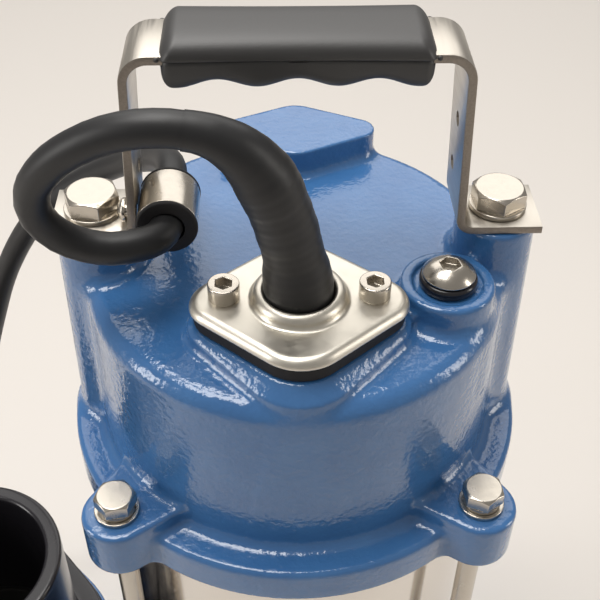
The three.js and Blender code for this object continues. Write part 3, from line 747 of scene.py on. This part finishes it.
def make_cover():
    """The cast cover. Its walls lean with the mould's draft, and its deck falls towards the front."""
    reach = FLANGE_R + 4
    f = Field((-reach, -reach, COVER_LOW[2] - 2), (reach, reach, COVER_HIGH[2] + 2), 0.8)
    rho = f.disc(0, 0, 0)
    drop, slope, crown = 2.5, 0.035, 0.8
    deck = f.z - DECK_Z + drop - slope * f.y + crown * (rho / WALL_R) ** 2
    body = prism(rho - WALL_R - 0.014 * (DECK_Z - f.z), np.maximum(deck, FLANGE_BOTTOM - f.z), 6)
    column_r = 14
    column = np.hypot(np.abs(f.x) - HANDLE_BOLT_X, f.y) - column_r - 0.02 * (BOSS_TOP - f.z)
    body = join(body, prism(column, slab(f.z, FLANGE_BOTTOM + 3, BOSS_TOP), 1.2), 5)
    # the gland's boss widens quickly downwards, and its front runs into the wall
    below = GLAND_BOSS_TOP - f.z
    gland = rhombus(f.x, f.y, (0, GLAND[1]), 36.8, 34.6, 12.5, 20) - 0.08 * below
    shoulder = rhombus(f.x, f.y, (0, GLAND[1]), 35, 29.6, 11, 16.5) - 1.1 * below
    gland = prism(np.maximum(gland, 0.7 * shoulder), slab(f.z, 345, GLAND_BOSS_TOP), 0.8)
    gland = np.maximum(gland, rho - WALL_R + 0.2)
    body = join(body, gland, 2)
    boss_foot = 380
    vent = f.disc(VENT[0], VENT[1], 16) - 0.04 * (VENT_BOSS_TOP - f.z)
    body = join(body, prism(vent, slab(f.z, boss_foot, VENT_BOSS_TOP), 1.4), 4)
    rear = rhombus(f.x, f.y, (1.5, 64), 31.5, 18, 7, 12) + np.maximum(0, DECK_Z - 10 - f.z)
    body = join(body, prism(rear, slab(f.z, boss_foot, DECK_Z + 10), 0.7), 4)
    flange = prism(rho - FLANGE_R, slab(f.z, FLANGE_BOTTOM, FLANGE_TOP), 2.2)
    pads = prism(ear_pads(f), slab(f.z, FLANGE_BOTTOM + 2, EAR_TOP), 1.6)
    cover = join(join(body, flange, 4.5), pads, 3)
    spigot = prism(rho - WALL_R + 0.3, slab(f.z, COVER_LOW[2], FLANGE_BOTTOM + 2), 0.8)
    cover = join(cover, spigot)
    recess = prism(f.disc(VENT[0], VENT[1], 12), slab(f.z, VENT_BOSS_TOP - 1.5, 440), 0.3)
    cover = cut(cover, recess, 0.7)
    hollow = prism(rho - WALL_R + 8, slab(f.z, 290, DECK_Z - 11), 5)
    cover = cut(cover, hollow)
    piece("cover", f.mesh("cover", cover), "enamel", ["top_cover"])


# ---------------------------------------------------------------- pump end


def outlet_pipe(f, radius, inner_x, top):
    """The solid round of a pipe that runs out of the volute along -X and bends up to the outlet."""
    branch = prism(np.hypot(f.y, f.z - OUTLET_Z) - radius, slab(f.x, OUTLET_X, inner_x))
    bend = np.sqrt((f.x - OUTLET_X) ** 2 + f.y ** 2 + (f.z - OUTLET_Z) ** 2) - radius
    riser = prism(f.disc(OUTLET_X, 0, radius), slab(f.z, OUTLET_Z, top))
    return join(join(branch, bend), riser)


def outlet_outline(f, half_x):
    """The outline of the outlet's flanges: a wide round middle with a lug for each bolt."""
    return rhombus(f.x, f.y, (OUTLET_X, 0), half_x, OUTLET_BOLT_Y + OUTLET_LUG_R, half_x - 1, OUTLET_LUG_R)


def make_casing():
    """The volute with its outlet elbow. Enamel covers it outside, and its bore is painted near-black as
    shade.
    """
    f = Field(CASING_LOW - 2, CASING_HIGH + 2, 1.1)
    flange_top = 139
    rho = f.disc(0, 0, 0)
    volute = prism(rho - 100, slab(f.z, CASING_LOW[2], 123.7), 7)
    neck = prism(rho - FLANGE_R, slab(f.z, 110, CASING_HIGH[2]), 2)
    pads = prism(ear_pads(f), slab(f.z, 116, CASING_HIGH[2]), 1.6)
    pipe = outlet_pipe(f, OUTLET_WALL_R, 0, flange_top - 5)
    outline = outlet_outline(f, 62)
    flange = prism(outline, slab(f.z, flange_top - 12, flange_top), 1.6)
    casing = join(join(volute, neck, 6), pads, 4)
    casing = join(join(casing, pipe, 12), flange, 4)
    inside = join(prism(rho - 82, slab(f.z, 20, 130)), prism(rho - 84.3, slab(f.z, 129.9, 160)))
    bore = outlet_pipe(f, OUTLET_BORE_R, -40, 160)
    casing = cut(cut(casing, inside), bore, 1)
    mesh = f.mesh("casing", casing)
    piece("casing", mesh, "enamel", ["pump_casing"])
    # the bore's faces get the near-black finish, which is painted shade inside the pipe
    mesh.materials.append(FINISHES["bare"])
    x, y, z = np.array([face.center for face in mesh.polygons]).T / MM
    reach = OUTLET_BORE_R + 1
    in_riser = (np.hypot(x - OUTLET_X, y) < reach) & (z > OUTLET_Z) & (z < flange_top)
    in_branch = (np.hypot(y, z - OUTLET_Z) < reach) & (x > OUTLET_X) & (x < -60)
    in_bend = np.hypot(np.hypot(x - OUTLET_X, y), z - OUTLET_Z) < reach
    mesh.polygons.foreach_set("material_index", (in_riser | in_branch | in_bend).astype(np.int32))


def make_oil_housing():
    """The casting between the volute and the motor shell, with the screw that closes it."""
    low, high = span("oil_housing")
    f = Field(low - 2, high + 2, 0.9)
    rho = f.disc(0, 0, 0)
    lip_top = 176
    plug_z = 152
    drum = prism(rho - FLANGE_R + 4, slab(f.z, low[2], lip_top), 3)
    lip = prism(rho - FLANGE_R, slab(f.z, lip_top - 10, lip_top), 2)
    foot = prism(rho - FLANGE_R, slab(f.z, low[2], 150), 2)
    pads = prism(ear_pads(f), slab(f.z, low[2], 164), 1.6)
    boss = prism(np.hypot(f.x, f.z - plug_z) - 11.5, slab(f.y, -85.5, -70), 1)
    housing = join(join(join(drum, lip, 3), foot, 3), pads, 3)
    housing = join(housing, boss, 2)
    spigot = prism(rho - 75.7, slab(f.z, 170, high[2]), 1)
    housing = cut(join(housing, spigot), prism(rho - 60, slab(f.z, 130, 165), 3))
    housing = cut(housing, prism(rho - 26.3, slab(f.z, 172, 200)))
    piece("oil_chamber", f.mesh("oil_chamber", housing), "enamel", ["oil_housing"])
    plug = lathe("oil_screw", [
        (0, -89.2), (6.5, -89.2, 0.4), (9.2, -88, 0.8), (9.2, -84.2), (4.7, -84.2), (4.7, -62), (0, -62),
    ], 48, (0, 0, plug_z), "y")
    socket = lathe("socket", [(0, -90), (3.6, -90), (3.6, -85.6), (0, -85.6)], 6, (0, 0, plug_z), "y")
    piece("oil_screw", drilled(plug, socket), "bright", ["oil_plug"])


def make_base():
    """The strainer: a plate and a ring with twelve ribs between them."""
    low, high = span("base_strainer")
    f = Field((low[0] - 2, low[1] - 2, -2), high + 2, 1.0)
    rho = f.disc(0, 0, 0)
    plate = prism(rho - high[0], slab(f.z, 0, 5), 1.5)
    top_ring = prism(np.maximum(rho - high[0], 40 - rho), slab(f.z, 23, high[2]), 1)
    step = math.pi / 6
    angle = np.arctan2(f.y, f.x)
    off = (angle % step) - step / 2
    rib = np.maximum(np.abs(rho * np.cos(off) - 81) - 16, np.abs(rho * np.sin(off)) - 3)
    base = join(join(plate, top_ring, 2), prism(rib, slab(f.z, 3, 25)), 2)
    places = [middle(f"base_screw_{i}")[:2] for i in (1, 2, 3)]
    for x, y in places:
        base = join(base, prism(f.disc(x, y, 7), slab(f.z, 3, 25)), 2)
        base = cut(base, prism(f.disc(x, y, 7.5), slab(f.z, -5, 3)), 0.5)
    piece("strainer", f.mesh("strainer", base), "enamel", ["base_strainer"])
    for i, (x, y) in enumerate(places, 1):
        screw = lathe("screw", [
            (0, 0.6), (5.4, 0.6), (6, 1.2, 0.3), (6, 2.7), (3, 2.7), (3, 52), (0, 52),
        ], 32, (x, y, 0))
        socket = lathe("slot", [(0, 0), (2.6, 0), (2.6, 1.9), (0, 1.9)], 6, (x, y, 0))
        piece(f"strainer_screw_{i}", drilled(screw, socket), "bright", [f"base_screw_{i}"])


def make_suction_plate():
    """The floor of the volute, with the suction eye through its middle."""
    mesh = lathe("suction", [
        (36, 28, 1), (98, 28, 0.6), (98, 36, 0.6), (81.7, 36), (81.7, 60, 1), (52, 60, 3), (36, 46, 4),
    ], 160)
    piece("suction", mesh, "enamel", ["suction_plate"])


def make_impeller():
    """A half-open wheel with six swept vanes under its plate."""
    low, high = span("impeller")
    f = Field(low - 2, high + 2, 0.9)
    rho = f.disc(0, 0, 0)
    wheel = prism(rho - high[0], slab(f.z, 104, 110), 0.8)
    hub = prism(rho - 19, slab(f.z, 92.6, high[2]), 0.8)
    body = join(wheel, hub, 3)
    # each vane is an arc of a ring round a point 44 mm off the shaft
    for k in range(6):
        a = k * math.pi / 3
        x = f.x * math.cos(a) + f.y * math.sin(a) - 44
        y = f.y * math.cos(a) - f.x * math.sin(a)
        bend = np.hypot(x, y)
        turn = np.arctan2(y, x) / math.pi
        blade = np.maximum(np.abs(bend - 43.5) - 2.5, bend * math.pi * (np.abs(turn - 0.795) - 0.175))
        body = join(body, prism(np.maximum(blade, rho - high[0]), slab(f.z, low[2], 106), 0.6), 1.5)
    body = cut(body, prism(rho - 10.3, slab(f.z, 60, 130)), 0.4)
    body = cut(body, prism(rho - 16, slab(f.z, 60, 92.6)))
    piece("wheel", f.mesh("wheel", body), "iron", ["impeller"], "rotor")


# ---------------------------------------------------------------- outlet


def make_outlet():
    """The hose connector on its gasket, with a bolt and a washer at each end of its flange."""
    flange_top = 148
    washer_foot, head_foot = flange_top + 0.3, flange_top + 2.3
    f = Field(CONNECTOR_LOW - 2, CONNECTOR_HIGH + 2, 0.8)
    flange = prism(outlet_outline(f, 58.5), slab(f.z, CONNECTOR_LOW[2], flange_top), 1.2)
    tube_part = prism(f.disc(OUTLET_X, 0, 46), slab(f.z, CONNECTOR_LOW[2], CONNECTOR_HIGH[2]), 1.6)
    bore = prism(f.disc(OUTLET_X, 0, OUTLET_BORE_R), slab(f.z, 120, 260))
    connector = cut(join(flange, tube_part, 3), bore, 1.8)
    piece("connector", f.mesh("connector", connector), "gloss_black", ["hose_connector"])
    low, high = span("outlet_gasket")
    g = Field(low - 1, high + 1, 0.6)
    hole = prism(g.disc(OUTLET_X, 0, OUTLET_BORE_R), slab(g.z, 100, 200))
    gasket = cut(prism(outlet_outline(g, 60), slab(g.z, low[2], high[2]), 0.4), hole)
    piece("outlet_seal", g.mesh("outlet_seal", gasket), "rubber", ["outlet_gasket"])
    for end in ("front", "rear"):
        low, high = span(f"outlet_bolt_{end}")
        y = (low[1] + high[1]) / 2
        parts = [
            moved(hex_head(17, high[2] - head_foot), OUTLET_X, y, head_foot),
            washer(10, 5.2, 2, OUTLET_X, y, washer_foot),
            shank(5, low[2], head_foot + 0.7, OUTLET_X, y, 0.8),
        ]
        piece(f"flange_bolt_{end}", merged("bolt", *parts), "bright", [f"outlet_bolt_{end}"])


# ---------------------------------------------------------------- fasteners


def hex_head(across, height):
    """A hexagon head with its top corners turned off at 30 degrees, standing at the origin."""
    reach = across * 0.62
    f = Field((-reach, -reach, -0.6), (reach, reach, height + 0.6), 0.16)
    head = prism(hexagon(f.x, f.y, across), slab(f.z, 0, height), 0.12)
    rho = f.disc(0, 0, 0)
    lean = math.radians(30)
    chamfer = (rho - across * 0.47) * math.sin(lean) + (f.z - height) * math.cos(lean)
    return f.mesh("head", np.maximum(head, chamfer))


def shank(radius, low, high, x, y, edge=0.5, sides=32):
    return lathe("shank", [(0, low), (radius, low, edge), (radius, high), (0, high)], sides, (x, y, 0))


def washer(outer, inner, thick, x, y, z):
    edge = 0.3
    return lathe("washer", [
        (inner, z), (outer, z, edge), (outer, z + thick, edge), (inner, z + thick, edge),
    ], 72, (x, y, 0))


def split_washer(outer, inner, thick, x, y, z):
    """A spring washer, cut through on one side, with one end a little higher than the other."""
    steps = 60
    start, sweep, lift = 12, 336, 0.25
    points = []
    for k in range(steps + 1):
        a = math.radians(start + sweep * k / steps)
        rise = lift * (k / steps - 0.5)
        for r, h in ((inner, 0), (outer, 0), (outer, thick), (inner, thick)):
            points.append((x + r * math.cos(a), y + r * math.sin(a), z + h + rise))
    return to_mesh("split", points, swept_faces(steps + 1, 4), 30)


def make_tie_bolts():
    """The four long bolts that clamp the shell between the castings. Each head has its own turn."""
    for i, turn in enumerate((17, -8, 40, 5), 1):
        x, y, _ = middle(f"tie_bolt_{i}")
        low, high = span(f"tie_bolt_{i}")
        seat = EAR_TOP + 1.7
        head_foot = seat + 2.1
        parts = [
            moved(hex_head(13, high[2] - head_foot), x, y, head_foot, turn),
            split_washer(6.7, 4.3, 1.7, x, y, seat + 0.2),
            shank(4, low[2], head_foot + 1, x, y, sides=48),
        ]
        piece(f"tie_rod_{i}", merged("tie_rod", *parts), "bright", [f"tie_bolt_{i}"])
        flat = washer(8, 4.3, 1.4, x, y, EAR_TOP + GAP)
        piece(f"tie_seat_{i}", flat, "bright", [f"tie_washer_{i}"])


def make_handle_bolts():
    """The bolts through the handle's feet, each on a washer."""
    for side, turn in (("left", 20), ("right", 3)):
        low, high = span(f"handle_bolt_{side}")
        x = (low[0] + high[0]) / 2
        w_low, w_high = span(f"handle_washer_{side}")
        foot = w_high[2] + 0.1
        parts = [
            moved(hex_head(17, high[2] - foot), x, 0, foot, turn),
            shank(5, low[2], foot + 1, x, 0, 0.8, 48),
        ]
        piece(f"lift_bolt_{side}", merged("lift_bolt", *parts), "bright", [f"handle_bolt_{side}"])
        flat = washer(10, 5.4, w_high[2] - w_low[2], x, 0, w_low[2])
        piece(f"lift_washer_{side}", flat, "bright", [f"handle_washer_{side}"])


# ---------------------------------------------------------------- gland and vent


def make_gland():
    """The pressed plate with a collar round the sleeve, on its rubber gasket."""
    f = Field((-38, GLAND[1] - 33, GASKET_TOP - 1), (38, GLAND[1] + 33, PLATE_TOP + 1), 0.32)
    outline = rhombus(f.x, f.y, (0, GLAND[1]), 35.8, 30, 11.4, 16.6)
    plate = prism(outline, slab(f.z, 405, GLAND_FLAT_TOP), 3.2)
    collar = prism(f.disc(0, GLAND[1], 15.4), slab(f.z, 400, PLATE_TOP), 3)
    plate = join(plate, collar, 1.8)
    plate = cut(plate, prism(f.disc(0, GLAND[1], 11.6), slab(f.z, 400, 440)), 1.2)
    plate = np.maximum(plate, GASKET_TOP - f.z)
    piece("gland", f.mesh("gland", plate), "pressed", ["gland_plate"])
    low, high = span("gland_gasket")
    g = Field(low - 1, high + 1, 0.4)
    outline = rhombus(g.x, g.y, (0, GLAND[1]), 34.6, 29.3, 10.6, 16)
    hole = prism(g.disc(0, GLAND[1], 11.5), slab(g.z, 400, 440))
    seal = cut(prism(outline, slab(g.z, low[2], GASKET_TOP - 0.1), 0.8), hole)
    piece("gland_seal", g.mesh("gland_seal", seal), "rubber", ["gland_gasket"])
    for side in ("left", "right"):
        make_socket_screw(side)


def make_socket_screw(side):
    """One of the two screws with hexagon sockets that hold the gland's plate."""
    low, high = span(f"gland_screw_{side}")
    x, y, _ = (low + high) / 2
    foot = GLAND_FLAT_TOP - 0.1
    top = high[2] + 0.8
    f = Field((-6, -6, foot - 0.6), (6, 6, top + 0.6), 0.14)
    rho = f.disc(0, 0, 0)
    head = prism(rho - 5.2, slab(f.z, foot, top), 0.5)
    head = cut(head, prism(hexagon(f.x, f.y, 5.2), slab(f.z, top - 3.4, top + 4)), 0.35)
    screw = merged("socket_screw", moved(f.mesh("head", head), x, y, 0), shank(3, low[2], foot + 1, x, y))
    piece(f"socket_screw_{side}", screw, "bright", [f"gland_screw_{side}"])


def make_vent():
    """A domed plug with a socket, on a rubber ring."""
    x, y, _ = VENT
    low, high = span("vent_seal")
    seal = lathe("vent_ring", [
        (5.4, low[2]), (9.8, low[2], 1), (9.8, high[2], 1.2), (5.4, high[2]),
    ], 72, (x, y, 0))
    piece("vent_ring", seal, "gloss_black", ["vent_seal"])
    low, high = span("vent_plug")
    foot, top = high[2] - 5, high[2]
    head_r = 9
    f = Field((-10, -10, foot - 0.6), (10, 10, top + 0.6), 0.18)
    rise = top - foot - 0.7
    ball_r = (head_r ** 2 + rise ** 2) / (2 * rise)
    rho = f.disc(0, 0, 0)
    dome = np.hypot(rho, f.z - top + ball_r) - ball_r
    head = np.maximum(prism(rho - head_r, slab(f.z, foot, top + 3), 0.3), dome)
    socket = prism(hexagon(f.x, f.y, 6.3), slab(f.z, top - 3.2, top + 4))
    mesh = moved(f.mesh("dome", cut(head, socket, 0.35)), x, y, 0, 12)
    screw = merged("vent_screw", mesh, shank(5, low[2], foot + 1, x, y))
    piece("vent_screw", screw, "bright", ["vent_plug"])


# ---------------------------------------------------------------- handle


def strap_hole(x, y, z):
    """A cutter for a hole through one leg, which runs 16 mm from x."""
    return lathe("hole", [(0, x), (2.6, x), (2.6, x + 16), (0, x + 16)], 32, (0, y, z), "x")


def make_strap():
    """A steel strip bent into a flat-topped bow with two feet. Its cut edges are duller: rougher, and
    painted darker as shade.
    """
    half = STRAP_THICK / 2
    foot_z = STRAP_LOW[2] + half
    top_z = STRAP_HIGH[2] - half
    end = STRAP_HIGH[0]
    line = rounded([
        (-end, foot_z), (-55.5, foot_z, 4.5), (-52.5, top_z, 8),
        (52.5, top_z, 8), (55.5, foot_z, 4.5), (end, foot_z),
    ], closed=False, arc_steps=10)
    width = (STRAP_HIGH[1] - STRAP_LOW[1]) / 2
    section = rounded([
        (-half, -width, 0.5), (half, -width, 0.5), (half, width, 0.5), (-half, width, 0.5),
    ], arc_steps=2)
    tangent = np.gradient(line, axis=0)
    tangent /= np.linalg.norm(tangent, axis=1)[:, None]
    points = []
    for (x, z), (tx, tz) in zip(line, tangent):
        points += [(x - tz * a, b, z + tx * a) for a, b in section]
    strap = to_mesh("strap", points, swept_faces(len(line), len(section)), SHARP)
    spots = ((4.2, 447.5), (0, 467))
    cutters = [strap_hole(46, y, z) for y, z in spots]
    cutters += [strap_hole(-62, y, z) for y, z in (*spots, (CLIP[1], CLIP_PLACE[2]))]
    bow = drilled(strap, *cutters)
    piece("bow", bow, "strip", ["handle_strap"])
    # the upright edges get the darker finish: rougher cut steel, with painted shade in its colour
    bow.materials.append(FINISHES["sheared_and_shade"])
    for face in bow.polygons:
        face.material_index = 1 if abs(face.normal.y) > 0.9 else 0


def make_grip():
    """A moulded grip in two halves that meet in a groove: a domed top, and finger hollows under it."""
    f = Field(GRIP_LOW - 3, GRIP_HIGH + 3, 0.4)
    seam = 495.6
    finger_pitch = 24.5
    foot = GRIP_LOW[2] + 2
    waist = 1 - (f.x / GRIP_HIGH[0]) ** 2

    def half(width, height, power, end):
        across = np.abs(f.y) / (width - waist)
        up = np.abs(f.z - seam) / height
        section = ((across ** power + up ** power) ** (1 / power) - 1) * np.minimum(height, 10)
        return prism(section, np.abs(f.x) - end, 3)

    lean = GRIP_HIGH[0] - 0.5 * np.maximum(f.z - seam, 0)
    top = half(GRIP_HIGH[1] + 1.2, GRIP_HIGH[2] - 0.5 - seam, 2.7, lean)
    top = np.maximum(top, seam - 0.4 - f.z)
    under = seam - foot - 1.5 - 1.5 * np.cos(f.x / finger_pitch * 2 * math.pi)
    bottom = half(GRIP_HIGH[1] + 0.3, under, 4.0, GRIP_HIGH[0] - 0.8)
    bottom = np.maximum(bottom, f.z - seam)
    groove = 0.25 * np.exp(-(((f.z - seam + 0.4) / 0.45) ** 2))
    grip = join(top, bottom) + groove
    for sx in (-1, 1):
        for sy in (-1, 1):
            nub = np.sqrt((f.x - sx * 42) ** 2 + (f.y - sy * 12.5) ** 2 + (f.z - seam) ** 2) - 1
            grip = join(grip, nub)
    strap_z = STRAP_HIGH[2] - STRAP_THICK / 2
    slot = np.maximum(np.abs(f.y) - 12.6, np.abs(f.z - strap_z) - 1.8)
    grip = cut(grip, slot)
    piece("grip", f.mesh("grip", grip), "moulded", ["handle_grip"])


# ---------------------------------------------------------------- cable clip


def make_clip():
    """The P-clip: a rubber cushion round the cable, a steel band round it, and a rivet."""
    x, y, z = CLIP_PLACE
    half = 10.6
    cushion = lathe("cushion", [
        (6.0, y - half), (10.3, y - half, 0.9), (10.3, y - half + 1.6, 0.6), (9.3, y - half + 1.8),
        (9.3, y + half - 1.8), (10.3, y + half - 1.6, 0.6), (10.3, y + half, 0.9), (6.0, y + half, 0.8),
    ], 64, (x, 0, z), "y")
    piece("cushion", cushion, "rubber", ["clip_cushion"])
    band = lathe("band", [
        (9.5, y - 9), (10.2, y - 9, 0.2), (10.2, y + 9, 0.2), (9.5, y + 9),
    ], 72, (x, 0, z), "y")
    piece("band", band, "bright", ["clip_band"])
    low, high = span("clip_rivet")
    rivet = lathe("rivet", [
        (0, low[0]), (2.6, low[0], 1), (4.2, low[0] + 1.6, 0.8), (4.2, low[0] + 2.5), (2.2, low[0] + 2.5),
        (2.2, high[0]), (0, high[0]),
    ], 40, (0, y, z), "x")
    piece("rivet", rivet, "bright", ["clip_rivet"])


# ---------------------------------------------------------------- motor shell and inner parts


def make_shell():
    mesh = lathe("shell", [
        (SHELL_HIGH[0] - 2, SHELL_LOW[2]), (SHELL_HIGH[0], SHELL_LOW[2], 0.4),
        (SHELL_HIGH[0], SHELL_HIGH[2], 0.4), (SHELL_HIGH[0] - 2, SHELL_HIGH[2]),
    ], 256)
    piece("shell", mesh, "polished", ["motor_shell"])


INNER_FINISHES = {
    "iron": ["seal_plate", "stator_core", "upper_bracket", "rotor_core"],
    "copper": ["winding_upper", "winding_lower"],
    "ceramic": ["seal_seat"],
    "can": ["run_capacitor"],
    "rubber": ["cover_o_ring"],
    "bright": ["upper_bearing", "lower_bearing", "motor_shaft", "seal_head", "impeller_key", "impeller_nut"],
}


def finish_inner_parts():
    for finish, nodes in INNER_FINISHES.items():
        for node in nodes:
            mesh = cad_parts[node].data
            mesh.materials.clear()
            mesh.materials.append(FINISHES[finish])


# ---------------------------------------------------------------- the scene

make_finishes()
make_camera()
make_studio()
cable_length = make_cable()
make_sleeve()
make_cover()
make_shell()
make_strap()
make_grip()
make_handle_bolts()
make_tie_bolts()
make_gland()
make_vent()
make_clip()
make_outlet()
make_oil_housing()
make_casing()
make_suction_plate()
make_base()
make_impeller()
finish_inner_parts()
